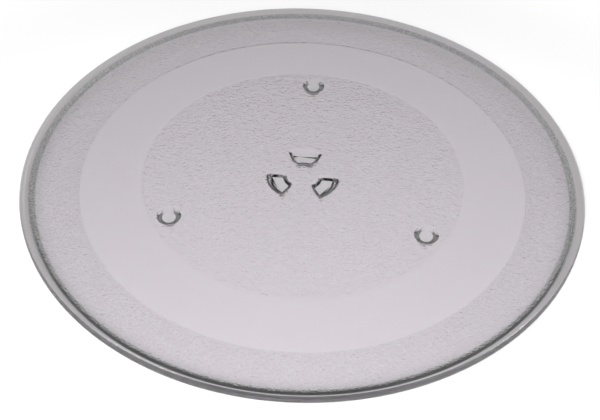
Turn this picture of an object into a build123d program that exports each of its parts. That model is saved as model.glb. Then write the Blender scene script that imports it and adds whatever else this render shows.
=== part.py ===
import os
from math import asin, degrees, radians, tan

from build123d import *

# Microwave turntable plate: one piece of pressed glass, in millimetres.
# The origin is the centre of the plane that the three feet stand on, with +Z up.
# One foot and one drive lug point along +Y.

# Zones, out from the centre: stippled disc, smooth roller track, stippled slope, lip
disc_radius = 99.0
track_width = 36.0
slope_width = 26.0
lip_width = 9.0

# Glass thickness of the flat base and of the slope
base_wall = 5.0
slope_wall = 4.7

# The slope's rise, and the roller track's depth in the underside with the width of its two sides
slope_rise = 2.6
track_depth = 0.3
track_side = 1.4

# Raised lip, in its section: a long ramp up to the crest, a bevel down to the outer face, and below
# it a flange that a step in the underside leads up to
lip_height = 2.0
bevel_width = 1.6
bevel_height = 1.4
face_height = 1.7
flange_width = 3.9
flange_rise = 0.55
step_width = 3.4
crest_radius = 1.5
face_foot_radius = 1.2
flange_root_radius = 6.6
step_foot_radius = 8.0

# Feet, which the plate stands on when it is out of the oven
foot_count = 3
foot_diameter = 14.0
foot_height = 6.0
foot_inset = 4.5
foot_draft = 25.0
foot_tip_round = 1.5
foot_root_flare = 0.8

# Drive lugs, which the oven's three-winged coupler turns: steep at the sides and towards the
# centre, where wings and hub are, with a more slanted outer end and a wide flare at the root
lug_count = 3
lug_inner_radius = 10.8
lug_length = 11.3
lug_span = 54.0
lug_clearance = 0.5
lug_draft = 12.0
lug_end_draft = 28.0
lug_corner_radius = 2.0
lug_tip_chamfer = 0.4
lug_root_flare = 2.0

# Direction of the first foot and the first lug, about +Z from +X
first_angle = 90.0

# Share of a wall that the rounding at each of its ends may take up
half_wall = 0.48

# Levels above the plane that the feet stand on
underside = foot_height
track_level = underside + track_depth
base_top = underside + base_wall
slope_top = base_top + slope_rise
crest_level = slope_top + lip_height
bevel_foot = crest_level - bevel_height
face_foot = bevel_foot - face_height
flange_root = face_foot - flange_rise

# Radii of the zones' edges and of the lip's corners
track_outer = disc_radius + track_width
ramp_root = track_outer + slope_width
plate_radius = ramp_root + lip_width
crest = plate_radius - bevel_width
flange_start = plate_radius - flange_width
step_start = flange_start - step_width
step_level = base_top + slope_rise * (step_start - track_outer) / slope_width - slope_wall

# The half section's corners, each with its radius: out along the underside, back along the top
section_corners = [
    ((0, underside), 0),
    ((disc_radius, underside), 0),
    ((disc_radius + track_side, track_level), 0),
    ((track_outer, track_level), 0),
    ((track_outer + track_side, underside), 0),
    ((step_start, step_level), step_foot_radius),
    ((flange_start, flange_root), flange_root_radius),
    ((plate_radius, face_foot), face_foot_radius),
    ((plate_radius, bevel_foot), 0),
    ((crest, crest_level), crest_radius),
    ((ramp_root, slope_top), 0),
    ((track_outer, base_top), 0),
    ((0, base_top), 0),
]


def rounding(before, corner, after, radius):
    """The corner's radius, or the largest that takes less than half of each of its two walls."""
    arriving = Vector(*corner) - Vector(*before)
    leaving = Vector(*after) - Vector(*corner)
    room = half_wall * min(arriving.length, leaving.length)
    return min(radius, room / tan(radians(arriving.get_angle(leaving)) / 2))


points = [point for point, radius in section_corners]
radii = [
    rounding(points[i - 1], point, points[(i + 1) % len(points)], radius)
    for i, (point, radius) in enumerate(section_corners)
]

# One drive lug along +X, between its outline at the root and its outline at the tip
lug_height = foot_height - lug_clearance
lug_inset = lug_height * tan(radians(lug_draft))
lug_end_inset = lug_height * tan(radians(lug_end_draft))
lug_outer_radius = lug_inner_radius + lug_length


def lug_outline(inner_radius, outer_radius, side_inset, corner_radius):
    """A ring sector with rounded corners, its sides moved in by the inset."""
    with BuildSketch() as outline:
        with BuildLine():
            inner_half = lug_span / 2 - degrees(asin(side_inset / inner_radius))
            outer_half = lug_span / 2 - degrees(asin(side_inset / outer_radius))
            inner_arc = CenterArc((0, 0), inner_radius, -inner_half, 2 * inner_half)
            outer_arc = CenterArc((0, 0), outer_radius, -outer_half, 2 * outer_half)
            Line(inner_arc @ 0, outer_arc @ 0)
            Line(inner_arc @ 1, outer_arc @ 1)
        make_face()
        fillet(outline.vertices(), corner_radius)
    return outline.sketch


with BuildPart() as lug:
    with BuildSketch(Plane.XY.offset(underside)):
        add(lug_outline(lug_inner_radius, lug_outer_radius, 0, lug_corner_radius))
    with BuildSketch(Plane.XY.offset(lug_clearance)):
        add(lug_outline(
            lug_inner_radius + lug_inset,
            lug_outer_radius - lug_end_inset,
            lug_inset,
            lug_corner_radius - lug_inset,
        ))
    loft(ruled=True)
    chamfer(lug.edges().group_by(Axis.Z)[0], lug_tip_chamfer)

# One foot, turned about its own axis: flat tip, rounded edge, drafted wall and flared root
foot_radius = foot_diameter / 2
draft_slope = tan(radians(foot_draft))
foot_tip_radius = foot_radius - foot_height * draft_slope
with BuildPart() as foot:
    with BuildSketch(Plane.XZ):
        with BuildLine():
            tip = Line((0, 0), (foot_tip_radius - foot_tip_round, 0))
            wall_foot = (foot_tip_radius + foot_tip_round * draft_slope, foot_tip_round)
            flare_foot = (foot_radius - foot_root_flare * draft_slope, foot_height - foot_root_flare)
            Bezier(tip @ 1, (foot_tip_radius, 0), wall_foot)
            Polyline(
                wall_foot,
                flare_foot,
                (foot_radius + foot_root_flare, foot_height),
                (foot_radius, foot_height + base_wall / 2),
                (0, foot_height + base_wall / 2),
                (0, 0),
            )
        make_face()
    revolve(axis=Axis.Z)

foot_circle_radius = disc_radius - foot_inset - foot_radius

with BuildPart() as glass_plate:
    # Dish, lip and roller track, turned from one section
    with BuildSketch(Plane.XZ):
        with BuildLine():
            FilletPolyline(*points, radius=radii, close=True)
        make_face()
    revolve(axis=Axis.Z)

    # Drive lugs around the centre, with the flare at their roots
    with PolarLocations(0, lug_count, start_angle=first_angle):
        add(lug.part)
    chamfer(glass_plate.edges(Select.LAST).group_by(Axis.Z)[-1], lug_root_flare)

    # Feet, just inside the disc's edge, along the same directions as the lugs
    with PolarLocations(foot_circle_radius, foot_count, start_angle=first_angle):
        add(foot.part)

glass_plate.part.label = "glass_plate"

os.makedirs("parts", exist_ok=True)
export_step(glass_plate.part, "parts/glass_plate.step")
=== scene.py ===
# %% [markdown]
# # Microwave turntable plate
#
# The plate is one piece of pressed glass, 340 mm across. Its mould left a stippled disc, a smooth
# track for the roller ring, a stippled slope and a raised lip on it, and three feet and three drive
# lugs hang under its base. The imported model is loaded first, because every size below is taken in
# the same frame: metres, +Z up, and the origin on the plane that the feet stand on.

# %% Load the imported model
from math import atan2, cos, degrees, hypot, pi, radians, sin, tan

import bmesh
import bpy
from mathutils import Matrix, Vector


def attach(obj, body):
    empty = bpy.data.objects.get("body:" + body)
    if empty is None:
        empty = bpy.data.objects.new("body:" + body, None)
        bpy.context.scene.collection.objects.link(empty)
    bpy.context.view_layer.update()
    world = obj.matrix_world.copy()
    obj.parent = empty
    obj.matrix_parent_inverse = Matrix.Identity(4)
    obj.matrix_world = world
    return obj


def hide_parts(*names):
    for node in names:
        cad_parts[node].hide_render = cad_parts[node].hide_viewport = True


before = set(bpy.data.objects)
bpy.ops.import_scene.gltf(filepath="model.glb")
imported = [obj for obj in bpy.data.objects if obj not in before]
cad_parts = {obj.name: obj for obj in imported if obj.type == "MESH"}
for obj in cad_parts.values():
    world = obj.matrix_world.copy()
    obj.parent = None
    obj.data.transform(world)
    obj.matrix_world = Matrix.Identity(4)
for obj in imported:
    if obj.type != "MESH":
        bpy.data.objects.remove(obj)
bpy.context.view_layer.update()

mm = 0.001

# %% [markdown]
# ## Helpers for modelling by hand
#
# Blender's operators act on what is selected. With a mouse it is picked by eye; here it is picked
# by where it is. A fresh start leaves edit mode and deselects everything, so that the packed
# model's own objects are never touched.

# %% Start afresh, and pick by place
close = 0.01 * mm


def start_afresh():
    """Go back to object mode with nothing selected."""
    if bpy.context.object and bpy.context.object.mode != "OBJECT":
        bpy.ops.object.mode_set(mode="OBJECT")
    bpy.ops.object.select_all(action="DESELECT")


def take(piece):
    """Make one piece the only selected one, and the active one."""
    start_afresh()
    piece.select_set(True)
    bpy.context.view_layer.objects.active = piece


def edit(piece):
    """Open one piece in edit mode, with everything in it selected."""
    take(piece)
    bpy.ops.object.mode_set(mode="EDIT")
    bpy.ops.mesh.select_all(action="SELECT")


def pick(kind, wanted):
    """Select the vertices, edges or faces that pass a test of their middle and of themselves."""
    bpy.ops.mesh.select_all(action="DESELECT")
    bpy.ops.mesh.select_mode(type=kind)
    mesh = bmesh.from_edit_mesh(bpy.context.object.data)
    elements = {"VERT": mesh.verts, "EDGE": mesh.edges, "FACE": mesh.faces}[kind]
    count = 0
    for element in elements:
        if kind == "VERT":
            middle = element.co
        else:
            middle = sum((corner.co for corner in element.verts), Vector()) / len(element.verts)
        if wanted(middle, element):
            element.select_set(True)
            count += 1
    bmesh.update_edit_mesh(bpy.context.object.data)
    return count


def turn_about_axis(angle):
    """Turn the selection anticlockwise about the plate's axis, which with no window is a minus."""
    bpy.ops.transform.rotate(value=radians(-angle), orient_axis="Z", center_override=(0, 0, 0))


def describe(piece):
    """Print a piece's size in millimetres, its faces and whether it is closed."""
    mesh = bmesh.new()
    mesh.from_mesh(piece.data)
    open_edges = sum(not edge.is_manifold for edge in mesh.edges)
    size = [round(side / mm, 2) for side in piece.dimensions]
    triangles = sum(len(face.verts) - 2 for face in mesh.faces)
    print(piece.name, "size", size, "faces", len(mesh.faces), "triangles", triangles,
          "open edges", open_edges, "volume cm3", round(mesh.calc_volume(signed=True) * 1e6, 2))
    mesh.free()

# %% [markdown]
# ## The turned body
#
# Base, slope and lip are round about one axis, and could be spun from a drawn section. Here the
# section is walked instead, as on a potter's wheel: one ring of vertices is extruded, lifted and
# scaled from corner to corner. Each ring then stays easy to find, and every corner gets its own
# rounding with a bevel.

# %% The section's corners, from the disc's edge out along the underside and back along the top
underside = 6.0 * mm
track_level = 6.3 * mm
base_top = 11.0 * mm
disc_radius = 99.0 * mm
track_outer = 135.0 * mm
plate_radius = 170.0 * mm
slope_foot = 136.4 * mm
grid_edge = (98.2 * mm, underside)
corners = [
    # radius, height, rounding
    (disc_radius, underside, 4.0 * mm),  # edge of the stippled disc
    (101.2 * mm, track_level, 4.0 * mm),  # inner edge of the roller track
    (134.6 * mm, track_level, 4.0 * mm),  # outer edge of the roller track
    (slope_foot, underside, 4.0 * mm),  # foot of the stippled slope
    (162.7 * mm, 9.07 * mm, 8.0 * mm),  # foot of the step
    (166.1 * mm, 11.95 * mm, 6.6 * mm),  # root of the flange
    (plate_radius, 12.5 * mm, 1.2 * mm),  # foot of the outer face
    (plate_radius, 14.2 * mm, 0.6 * mm),  # top of the outer face
    (168.4 * mm, 15.6 * mm, 1.5 * mm),  # crest of the lip
    (161.0 * mm, 13.6 * mm, 4.7 * mm),  # foot of the ramp
    (track_outer, base_top, 8.0 * mm),  # foot of the slope on top
]
top_edge = (130.0 * mm, base_top)

# %% Walk the section
ring_segments = 640

start_afresh()
bpy.ops.mesh.primitive_circle_add(vertices=ring_segments, radius=grid_edge[0])
plate = bpy.context.object
plate.name = plate.data.name = "pressed_glass_plate"
edit(plate)
bpy.ops.transform.translate(value=(0, 0, underside))
here = grid_edge
for there in [corner[:2] for corner in corners] + [top_edge]:
    bpy.ops.mesh.extrude_region_move(TRANSFORM_OT_translate={"value": (0, 0, there[1] - here[1])})
    widening = there[0] / here[0]
    bpy.ops.transform.resize(value=(widening, widening, 1), center_override=(0, 0, 0))
    here = there
print("rings", len(plate.data.vertices) // ring_segments)

# %% [markdown]
# ## Rounded corners
#
# Pressed glass has no sharp corner: the hot glass never fills the mould's corners. A bevel on each
# ring gives it its radius. Where two roundings share a short wall, neither may take more than about
# half of it.

# %% Bevel each corner by its own radius
half_wall = 0.48
segment_turn = 8
shortest_segment = 0.06 * mm
path = [grid_edge] + [corner[:2] for corner in corners] + [top_edge]
for index, (radius, height, rounding) in enumerate(corners, start=1):
    arriving = Vector(path[index]) - Vector(path[index - 1])
    leaving = Vector(path[index + 1]) - Vector(path[index])
    turn = arriving.angle(leaving)
    reach = min(rounding * tan(turn / 2), half_wall * min(arriving.length, leaving.length))
    segments = max(2, min(round(degrees(turn) / segment_turn),
                          round(reach / shortest_segment)))
    found = pick("EDGE", lambda middle, edge: abs(middle.z - height) < close
                 and abs(middle.xy.length - radius) < 3 * close
                 and abs(edge.verts[0].co.z - edge.verts[1].co.z) < close)
    bpy.ops.mesh.bevel(offset=reach, segments=segments, profile=0.5, affect="EDGES")
    print("corner at", round(radius / mm, 1), "edges", found, "turn", round(degrees(turn), 1),
          "reach mm", round(reach / mm, 2), "segments", segments)

# %% [markdown]
# ## Rings for the stipple, and the two caps
#
# The slope's underside is stippled by the mould, so it needs cells of about a millimetre to carry
# that relief. Its long edges are cut into short ones. The disc in the middle could be closed by
# rings down to a pole, but their cells would shrink to slivers, so a grid fills it instead, with
# cells of one size. The top is smooth and flat, and one face closes it. It is inset once, because
# its shading then starts from a ring whose normals point straight up.

# %% Cut the slope's underside into rings
slope_cuts = 27
long_edge = 20 * mm
found = pick("EDGE", lambda middle, edge: edge.calc_length() > long_edge
             and middle.z < base_top and middle.xy.length > track_outer)
bpy.ops.mesh.subdivide(number_cuts=slope_cuts)
print("slope edges cut", found)

# %% Fill the disc with a grid, and close the top
top_inset = 1.0 * mm
found = pick("EDGE", lambda middle, edge: edge.is_boundary and middle.z < base_top - close)
bpy.ops.mesh.fill_grid(span=ring_segments // 4)
top = pick("EDGE", lambda middle, edge: edge.is_boundary and middle.z > base_top - close)
bpy.ops.mesh.edge_face_add()
bpy.ops.mesh.inset(thickness=top_inset)
bpy.ops.mesh.select_all(action="SELECT")
bpy.ops.mesh.normals_make_consistent(inside=False)
print("boundary edges below", found, "and above", top)
start_afresh()
describe(plate)

# %% [markdown]
# ## The pressed stipple
#
# Disc and slope carry a fine hammered grain on the underside. The coarse part of it is real relief
# here, a few hundredths of a millimetre deep, so that it bends what is seen through the glass. A
# Displace modifier moves only the vertices of one group. The group leaves out the track, and the
# ground around feet and lugs, which stays flat for the joins that follow.

# %% Where feet and lugs stand
first_angle = 90.0
copies = 3
foot_circle = 87.5 * mm
foot_radius = 7.0 * mm
foot_flare = 0.7 * mm
foot_draft = 25.0
lug_inner = 10.8 * mm
lug_length = 11.3 * mm
lug_span = 54.0
lug_flare = 2.0 * mm
margin = 1.6 * mm


def beside_a_foot_or_lug(place):
    """Say whether a place under the base is within the margin of a foot or a lug."""
    radius = place.xy.length
    step = 360 / copies
    off_axis = (degrees(atan2(place.y, place.x)) - first_angle + step / 2) % step - step / 2
    along = radius * cos(radians(off_axis)) - foot_circle
    across = radius * sin(radians(off_axis))
    near_foot = hypot(along, across) < foot_radius + foot_flare + margin
    reach = lug_inner - lug_flare - margin, lug_inner + lug_length + lug_flare + margin
    half_span = lug_span / 2 + degrees((lug_flare + margin) / max(radius, reach[0]))
    near_lug = reach[0] < radius < reach[1] and abs(off_axis) < half_span
    return near_foot or near_lug


# %% Group the stippled vertices
slope_start = 137.2 * mm
slope_end = 160.2 * mm
slope_highest = underside + 4.0 * mm
grain = plate.vertex_groups.new(name="stippled")
edit(plate)
found = pick("VERT", lambda place, vertex: place.z < base_top - close and (
    (place.xy.length < grid_edge[0] - close and not beside_a_foot_or_lug(place))
    or slope_start < place.xy.length < slope_end and place.z < slope_highest))
bpy.ops.object.vertex_group_assign()
print("stippled vertices", found)

# %% Displace them
grain_size = 1.5 * mm
grain_relief = 0.16 * mm
take(plate)
hammered = bpy.data.textures.new("hammered_grain", type="CLOUDS")
hammered.noise_scale = grain_size
hammered.noise_depth = 1
relief = plate.modifiers.new("pressed_stipple", "DISPLACE")
relief.texture = hammered
relief.texture_coords = "LOCAL"
relief.direction = "NORMAL"
relief.vertex_group = grain.name
relief.mid_level = 0.5
relief.strength = grain_relief
bpy.ops.object.modifier_apply(modifier=relief.name)
describe(plate)

# %% [markdown]
# ## Feet and drive lugs
#
# The oven's coupler turns the plate by three lugs around the centre, and three feet carry it on the
# worktop. Both are drafted to leave the mould, with rounded tips and a flare where they meet the
# base. One of each is built from the root down: the outline is inset and sunk step by step, so
# each inset is a step of the wall's section. The flare's rim starts a hair inside the base, so that
# no two faces share a plane when the pieces are joined. The others are spun copies of it.

# %% One wall, from the root down
root_level = underside + 2.0 * mm
overlap = 0.02 * mm
flare_steps = 8
tip_steps = 4


def wall_steps(flare, height, draft, tip_round):
    """Give the wall's steps, inwards and down: quarter-round flare, draft and rounded tip edge."""
    slant = tan(radians(draft))
    flare_angles = [step * pi / (2 * flare_steps) for step in range(flare_steps + 1)]
    tip_angles = [step * pi / (2 * tip_steps) for step in range(tip_steps + 1)]
    steps = [(flare * (sin(b) - sin(a)), flare * (cos(a) - cos(b)))
             for a, b in zip(flare_angles, flare_angles[1:])]
    steps += [(0, height + overlap - flare - tip_round)]
    steps += [(tip_round * (cos(a) - cos(b)), tip_round * (sin(b) - sin(a)))
              for a, b in zip(tip_angles, tip_angles[1:])]
    return [(inwards + down * slant, down) for inwards, down in steps]


def sink(levels):
    """Inset the selected face and move it along its normal, once for each pair of steps."""
    for inwards, down in levels:
        bpy.ops.mesh.inset(thickness=inwards, depth=down)


def drop_root():
    """Extrude the selected outline from its root inside the base down to the underside."""
    bpy.ops.mesh.extrude_region_move(
        TRANSFORM_OT_translate={"value": (0, 0, underside + overlap - root_level)})


# %% A foot
foot_sides = 72
foot_tip_round = 1.5 * mm
start_afresh()
bpy.ops.mesh.primitive_circle_add(vertices=foot_sides, radius=foot_radius + foot_flare,
                                  fill_type="NGON")
feet = bpy.context.object
feet.name = feet.data.name = "feet"
edit(feet)
bpy.ops.mesh.flip_normals()
bpy.ops.transform.translate(value=(foot_circle, 0, root_level))
drop_root()
sink(wall_steps(foot_flare, underside, foot_draft, foot_tip_round))
describe(feet)

# %% A drive lug's root: an edge swept through its span, then made one face
root_inner = lug_inner - lug_flare
root_outer = lug_inner + lug_length + lug_flare
half_span = lug_span / 2 + degrees(lug_flare / root_outer)
sweep_steps = 32
start_afresh()
bpy.ops.mesh.primitive_plane_add(size=root_outer - root_inner)
lugs = bpy.context.object
lugs.name = lugs.data.name = "lugs"
edit(lugs)
pick("VERT", lambda place, vertex: place.y > 0)
bpy.ops.mesh.delete(type="VERT")
bpy.ops.mesh.select_all(action="SELECT")
bpy.ops.transform.translate(value=((root_inner + root_outer) / 2, (root_outer - root_inner) / 2,
                                   root_level))
turn_about_axis(-half_span)
bpy.ops.mesh.spin(steps=sweep_steps, angle=radians(-2 * half_span), center=(0, 0, 0),
                  axis=(0, 0, 1))
bpy.ops.mesh.select_all(action="SELECT")
bpy.ops.mesh.dissolve_faces()

# %% Widen its inner end, so that its sides stay as far from the wall there as they are outside
widening = sin(radians(lug_span / 2) + lug_flare / root_inner) / sin(radians(half_span))
pick("VERT", lambda place, vertex: place.xy.length < root_inner + close)
bpy.ops.transform.resize(value=(1, widening, 1), center_override=(0, 0, root_level))
outline = [vertex.co.copy() for vertex in bmesh.from_edit_mesh(lugs.data).verts]
ends = [place for place in outline
        if abs(place.y) > max(abs(other.y) for other in outline
                              if (other.x > root_outer / 2) == (place.x > root_outer / 2)) - close]
print("corners at", [(round(end.x / mm, 1), round(end.y / mm, 1)) for end in ends])

# %% Round its four corners, once the arc beside each has no vertices in the way
corner_radius = 4.0 * mm
corner_reach = 1.1 * corner_radius
corner_segments = 10
found = pick("VERT", lambda place, vertex: any(
    close < (place - end).length < corner_reach for end in ends))
bpy.ops.mesh.dissolve_verts()
print("vertices cleared", found)
pick("VERT", lambda place, vertex: any((place - end).length < close for end in ends))
bpy.ops.mesh.bevel(offset=corner_radius, segments=corner_segments, affect="VERTICES")

# %% Sink its wall, and slant its outer end more
lug_draft = 12.0
end_draft = 28.0
lug_clearance = 0.5 * mm
lug_tip_round = 0.5 * mm
pick("FACE", lambda middle, face: True)
if bmesh.from_edit_mesh(lugs.data).faces[:][0].normal.z > 0:
    bpy.ops.mesh.flip_normals()
drop_root()
sink(wall_steps(lug_flare, underside - lug_clearance, lug_draft, lug_tip_round))
heights = [vertex.co.z for vertex in bmesh.from_edit_mesh(lugs.data).verts]
for level in sorted({round(height / mm, 3) for height in heights if height < underside}):
    further = (underside - level * mm) * (tan(radians(end_draft)) - tan(radians(lug_draft)))
    pick("VERT", lambda place, vertex: abs(place.z - level * mm) < close / 10
         and place.xy.length > root_outer - corner_radius)
    bpy.ops.transform.translate(value=(-further, 0, 0))
describe(lugs)

# %% Spin the copies and close the roots
for piece in (feet, lugs):
    edit(piece)
    turn_about_axis(first_angle)
    bpy.ops.mesh.spin(steps=copies - 1, angle=radians(360 / copies) * (copies - 1), dupli=True,
                      center=(0, 0, 0), axis=(0, 0, 1))
    bpy.ops.mesh.select_all(action="SELECT")
    bpy.ops.mesh.remove_doubles(threshold=close / 10)
    pick("EDGE", lambda middle, edge: edge.is_boundary)
    bpy.ops.mesh.edge_face_add()
    bpy.ops.mesh.select_all(action="SELECT")
    bpy.ops.mesh.normals_make_consistent(inside=False)
    start_afresh()
    describe(piece)

# %% [markdown]
# ## One piece of glass
#
# Light must cross no inner wall between plate and foot, so the three meshes are joined by Boolean
# unions and not only pushed into each other. Faces that meet at a small angle are then shaded
# smooth.

# %% Join
for piece in (feet, lugs):
    take(plate)
    union = plate.modifiers.new("join_" + piece.name, "BOOLEAN")
    union.operation = "UNION"
    union.solver = "EXACT"
    union.object = piece
    bpy.ops.object.modifier_apply(modifier=union.name)
    bpy.data.objects.remove(piece, do_unlink=True)
    describe(plate)

# %% Shade
smooth_angle = 32.0
take(plate)
bpy.ops.object.shade_smooth_by_angle(angle=radians(smooth_angle))

# %% [markdown]
# ## The glass
#
# Pressed glass this thick isn't quite colourless: where the eye looks far along the glass it turns
# a dark grey green, which an absorbing volume gives, as it grows with the path. The surface's tint
# is
# met twice whatever the path. It is a dark mauve grey, a faint mauve of the glass and painted
# shade:
# it darkens all that is seen through the plate as a dimmer ground under it would. The slope's
# darker tint is painted shade too, and the lip's lighter tint painted light. The stipple roughens
# the underside. Where it runs on over the step below the lip it sends most of the light astray and
# shows as a ragged dark band, which a darker tint paints here as painted shade. Shader maths is
# easier to read as sums than as boxes, so a small class lets sockets stand in Python expressions.

# %% Sockets in Python expressions
class Signal:
    """A node's output that can be added, subtracted, multiplied and stepped."""

    def __init__(self, tree, socket=None):
        self.tree = tree
        self.socket = socket

    def node(self, kind, settings=None, values=None, output=0):
        """Add any node: its settings first, then the values or links of its sockets."""
        made = self.tree.nodes.new(kind)
        for name, value in (settings or {}).items():
            setattr(made, name, value)
        for name, value in (values or {}).items():
            if isinstance(value, Signal):
                self.tree.links.new(value.socket, made.inputs[name])
            else:
                made.inputs[name].default_value = value
        return Signal(self.tree, made.outputs[output])

    def math(self, operation, first, second):
        return self.node("ShaderNodeMath", {"operation": operation}, {0: first, 1: second})

    def __add__(self, other):
        return self.math("ADD", self, other)

    def __sub__(self, other):
        return self.math("SUBTRACT", self, other)

    def __mul__(self, other):
        return self.math("MULTIPLY", self, other)

    def __radd__(self, other):
        return self.math("ADD", other, self)

    def __rsub__(self, other):
        return self.math("SUBTRACT", other, self)

    def __rmul__(self, other):
        return self.math("MULTIPLY", other, self)

    def step(self, low, high):
        """Rise smoothly from 0 at low to 1 at high."""
        return self.node("ShaderNodeMapRange", {"interpolation_type": "SMOOTHSTEP"},
                         {"Value": self, "From Min": low, "From Max": high})


# %% Find the stippled zones from the place on the plate
glass = bpy.data.materials.new("pressed_glass")
glass.use_nodes = True
glass.node_tree.nodes.clear()
start = Signal(glass.node_tree)
place = start.node("ShaderNodeTexCoord", output="Object")
x, y, z = (start.node("ShaderNodeSeparateXYZ", {}, {0: place}, output=axis) for axis in "XYZ")
radius = (x * x + y * y).math("POWER", x * x + y * y, 0.5)
slope_steepness = 0.1167
slope_level = underside + start.math("MAXIMUM", radius - slope_foot, 0.0) * slope_steepness
above_underside = z - slope_level

# Each zone fades in, or after a "1.0 -" fades out, from the first value to the second. The first
# two leave out what lies higher than the underside, and the walls of feet and lugs below it
not_higher = 1.0 - above_underside.step(0.4 * mm, 1.2 * mm)
not_lower = above_underside.step(-0.5 * mm, -0.25 * mm)
on_underside = not_higher * not_lower
in_disc = 1.0 - radius.step(98.6 * mm, 99.1 * mm)
in_slope = radius.step(135.6 * mm, slope_foot)
in_lip = radius.step(160.5 * mm, 162.5 * mm)
under_lip = in_lip * (1.0 - above_underside.step(2.9 * mm, 3.6 * mm))
stippled = on_underside * (in_disc + in_slope)


# %% Grain
def noise(scale, detail):
    """Give a noise over the plate, with so many grains to the metre."""
    return start.node("ShaderNodeTexNoise", {},
                      {"Vector": place, "Scale": scale, "Detail": detail})


noise_middle = 0.5
fine_share = 0.4
coarse, fine, grit = noise(210.0, 1.0), noise(620.0, 2.0), noise(1300.0, 1.0)
speckle = (fine * fine_share + grit * (1 - fine_share)).step(0.38, 0.62)

# The grain's height has its middle at zero: else it would fall off a cliff where the stipple ends,
# and the bump would draw that cliff as a hard line
grain_depth = 0.41 * mm
coarse_share = 0.5
grain_height = fine + coarse * coarse_share - noise_middle * (1 + coarse_share)
bump = start.node("ShaderNodeBump", {}, {"Strength": 1.0, "Distance": grain_depth,
                                         "Height": grain_height * stippled})

# %% The ragged dark band below the lip, painted shade
# How far each noise shifts the inner edge of the band of painted shade, in millimetres, and how
# much of its painted darkness is left outside it and in the gaps between its specks
fine_shift, grit_shift = 3.0, 4.0
band_outside = 0.15
band_gaps = 0.4
ragged = (radius + (fine - noise_middle) * fine_shift * mm
          + (grit - noise_middle) * grit_shift * mm)
band_start = ragged.step(161.2 * mm, 161.8 * mm)
band_end = 1.0 - radius.step(165.0 * mm, 166.4 * mm) * (1 - band_outside)
band_grit = grit.step(0.40, 0.56) * (1 - band_gaps) + band_gaps
painted_dark_band = under_lip * band_start * band_end * band_grit


# %% Tint, partly painted shade and painted light
def blend(first, second, share):
    """Mix two colours, or a colour's signal and a colour, by a share."""
    return start.node("ShaderNodeMix", {"data_type": "RGBA"},
                      {"Factor": share, "A": first, "B": second}, output=2)


# A faint mauve of the glass, and painted shade: far darker than clear glass, it darkens all seen
# through the plate. The stipple's tint is a mottled, darker copy of it.
mauve_and_shade_tint = (0.62, 0.584, 0.618, 1.0)
stipple_tint = (0.55, 0.517, 0.548, 1.0)
# Painted shade: the slope is tinted darker than the rest of the same glass, most where it is
# speckled.
slope_shade_tint = (0.48, 0.452, 0.478, 1.0)
# Painted light: the lip is tinted lighter than the rest of the same glass.
lip_light_tint = (0.66, 0.635, 0.65, 1.0)
# Painted shade: the ragged dark band below the lip, where the stipple sends the light astray.
band_shade_tint = (0.13, 0.14, 0.135, 1.0)
slope_shade_least, slope_shade_speckle = 0.3, 0.6
slope_shade_share = speckle * slope_shade_speckle + slope_shade_least
tint = blend(mauve_and_shade_tint, stipple_tint, speckle * stippled)
tint = blend(tint, slope_shade_tint, in_slope * on_underside * slope_shade_share)
tint = blend(tint, lip_light_tint, in_lip)
tint = blend(tint, band_shade_tint, painted_dark_band)

# %% Gloss
polished = 0.02
stipple_roughness = 0.10
lip_roughness = 0.30
refraction = 1.5
roughness = polished + stippled * stipple_roughness + under_lip * lip_roughness
surface = start.node("ShaderNodeBsdfPrincipled", {}, {
    "Base Color": tint, "Roughness": roughness, "Normal": bump,
    "IOR": refraction, "Transmission Weight": 1.0})

# %% [markdown]
# Light that has gone through glass is thrown on the floor as bright and dark patches, which take
# very long to render. Shadow rays pass straight through instead, and lose a little light on the
# way, more of it in the lip. So the plate throws an even soft shadow with a darker edge.

# %% Shadow rays and depth
shadow_tint = (0.85, 0.84, 0.85, 1.0)
lip_shadow_tint = (0.45, 0.45, 0.46, 1.0)
shadow_share = radius.step(156.0 * mm, 168.0 * mm)
depth_colour = (0.30, 0.55, 0.40, 1.0)
depth_density = 6.0
clear = start.node("ShaderNodeBsdfTransparent", {}, {"Color": shadow_tint})
lip_clear = start.node("ShaderNodeBsdfTransparent", {}, {"Color": lip_shadow_tint})
clear = start.node("ShaderNodeMixShader", {}, {0: shadow_share, 1: clear, 2: lip_clear})
rays = start.node("ShaderNodeLightPath", output="Is Shadow Ray")
mixed = start.node("ShaderNodeMixShader", {}, {0: rays, 1: surface, 2: clear})
depth_tint = start.node("ShaderNodeVolumeAbsorption", {},
                        {"Color": depth_colour, "Density": depth_density})
out = glass.node_tree.nodes.new("ShaderNodeOutputMaterial")
glass.node_tree.links.new(mixed.socket, out.inputs["Surface"])
glass.node_tree.links.new(depth_tint.socket, out.inputs["Volume"])
plate.data.materials.clear()
plate.data.materials.append(glass)

# %% The plate rides on the part's one body and stands for its node
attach(plate, "root")
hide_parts("glass_plate")

# %% [markdown]
# ## Studio
#
# Clear glass shows what lies around it, so its look is made by the studio. The floor is white paper
# that still takes the plate's soft shadow, and it is what the eye sees through the flat glass. A
# lamp in front lights its near part more than its far part. All else is darker, as photographers
# do round glass: the walls of feet and lugs turn some rays up or out sideways, where they find the
# dark cloth above and the grey cards all round, and draw dark outlines. Cloth and cards are both
# lighter in front, so that the near side of the lip turns grey instead of black. Near the floor the
# cards keep one grey.

# %% A white floor with a soft shadow
def studio_piece(name, made):
    """Name the new studio piece and give it its material. It is not attached to the part."""
    piece = bpy.context.object
    piece.name = piece.data.name = name
    piece.data.materials.append(made)
    return piece


def studio_material(name):
    """Make an empty node material and the signal that its nodes start from."""
    made = bpy.data.materials.new(name)
    made.use_nodes = True
    made.node_tree.nodes.clear()
    return made, Signal(made.node_tree)


def show(made, shader):
    """Link a shader to the material's output."""
    out = made.node_tree.nodes.new("ShaderNodeOutputMaterial")
    made.node_tree.links.new(shader.socket, out.inputs["Surface"])


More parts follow.
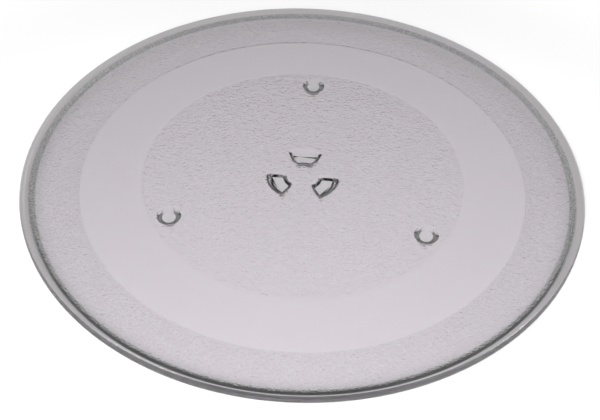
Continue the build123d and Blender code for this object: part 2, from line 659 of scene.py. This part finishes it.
def coordinate(start, axis):
    """Give one coordinate of the place on a studio piece as a signal."""
    place = start.node("ShaderNodeTexCoord", output="Object")
    return start.node("ShaderNodeSeparateXYZ", {}, {0: place}, output=axis)


def distance_from_axis(start):
    """Give the distance from the studio's upright axis as a signal."""
    squares = (coordinate(start, "X") * coordinate(start, "X")
               + coordinate(start, "Y") * coordinate(start, "Y"))
    return squares.math("POWER", squares, 0.5)


floor_size = 12.0
floor_gap = 0.05 * mm
floor_shade = 0.60
floor_glow = 0.345
white_from, white_to = 0.18, 0.30
start_afresh()
bpy.ops.mesh.primitive_plane_add(size=floor_size, location=(0, 0, -floor_gap))
paper, start = studio_material("white_paper")
seen = start.node("ShaderNodeLightPath", output="Is Camera Ray")
for other in ("Is Glossy Ray", "Is Transmission Ray"):
    seen = seen.math("MAXIMUM", seen, start.node("ShaderNodeLightPath", output=other))
far_away = distance_from_axis(start).step(white_from, white_to)
matt = start.node("ShaderNodeBsdfDiffuse", {}, {"Color": (floor_shade,) * 3 + (1.0,)})
glow = start.node("ShaderNodeEmission", {}, {"Strength": seen * floor_glow})
near_floor = start.node("ShaderNodeAddShader", {}, {0: matt, 1: glow})
white = start.node("ShaderNodeEmission", {}, {"Strength": seen})
show(paper, start.node("ShaderNodeMixShader", {}, {0: far_away, 1: near_floor, 2: white}))
studio_piece("studio_floor", paper)

# %% A dark cloth above, a little lighter in front
tent_radius = 1.15
tent_height = 0.50
tent_sides = 96
cloth_glow = 0.35
cloth_back_glow = 0.10
cloth_front, cloth_back = -0.2, 0.3
start_afresh()
bpy.ops.mesh.primitive_circle_add(vertices=tent_sides, radius=tent_radius, fill_type="NGON",
                                  location=(0, 0, tent_height))
black, start = studio_material("dark_cloth")
front = 1.0 - coordinate(start, "Y").step(cloth_front, cloth_back)
show(black, start.node("ShaderNodeEmission", {}, {
    "Strength": front * (cloth_glow - cloth_back_glow) + cloth_back_glow}))
cloth = studio_piece("studio_cloth", black)
cloth.visible_camera = False

# %% Grey cards all round, a little lighter in front
card_glow = 0.32
front_glow = 0.10
card_front, card_back = -0.5, 0.6
full_glow_height = 0.2
start_afresh()
bpy.ops.mesh.primitive_cylinder_add(vertices=tent_sides, radius=tent_radius, depth=tent_height,
                                    end_fill_type="NOTHING", location=(0, 0, tent_height / 2))
grey, start = studio_material("dark_card")
front = 1.0 - coordinate(start, "Y").step(card_front, card_back)
rise = coordinate(start, "Z").step(-tent_height / 2, full_glow_height - tent_height / 2)
show(grey, start.node("ShaderNodeEmission", {}, {
    "Strength": rise * front * front_glow + card_glow}))
cards = studio_piece("studio_cards", grey)
cards.visible_camera = False

# %% The room beyond, white
world = bpy.data.worlds.new("studio")
bpy.context.scene.world = world
world.use_nodes = True
background = world.node_tree.nodes["Background"]
background.inputs["Color"].default_value = (1.0, 1.0, 1.0, 1.0)
background.inputs["Strength"].default_value = 1.0

# %% A lamp in front, whose image is kept out of the glass, and two that only glint on its top
for name, place, size, power in (("lamp_front", (0.0, -0.40, 0.47), 0.25, 7.8),
                                 ("lamp_left", (-0.19, 0.125, 0.46), 0.12, 0.4),
                                 ("lamp_right", (0.32, 0.10, 0.46), 0.12, 0.4)):
    lamp = bpy.data.lights.new(name, "AREA")
    lamp.shape = "DISK"
    lamp.size = size
    lamp.energy = power
    holder = bpy.data.objects.new(name, lamp)
    bpy.context.scene.collection.objects.link(holder)
    holder.location = place
    holder.rotation_euler = Vector(place).to_track_quat("Z", "Y").to_euler()
    holder.visible_glossy = name != "lamp_front"
    holder.visible_transmission = False

# %% [markdown]
# The camera looks down at about 43 degrees from a little over half a metre, so the lip's near side
# is seen steeply and its far side flat. It leans by a degree and a half, as the picture does.

# %% Camera
camera_distance = 617.0 * mm
camera_height_angle = 43.25
aim_lower = 2.07
roll = 1.6
camera_azimuth = 3.5
aim_aside = 0.15
middle_height = 8.2 * mm
sensor_width = 36.0
focal_length = 60.0
lens = bpy.data.cameras.new("camera")
lens.sensor_width = sensor_width
lens.lens = focal_length
camera = bpy.data.objects.new("camera", lens)
bpy.context.scene.collection.objects.link(camera)
flat = camera_distance * cos(radians(camera_height_angle))
stand = Vector((flat * sin(radians(camera_azimuth)), -flat * cos(radians(camera_azimuth)),
                camera_distance * sin(radians(camera_height_angle)) + middle_height))
camera.matrix_world = (Matrix.Translation(stand)
                       @ Matrix.Rotation(radians(camera_azimuth + aim_aside), 4, "Z")
                       @ Matrix.Rotation(radians(90 - camera_height_angle - aim_lower), 4, "X")
                       @ Matrix.Rotation(radians(roll), 4, "Z"))
bpy.context.scene.camera = camera
bpy.context.scene.view_settings.view_transform = "Standard"
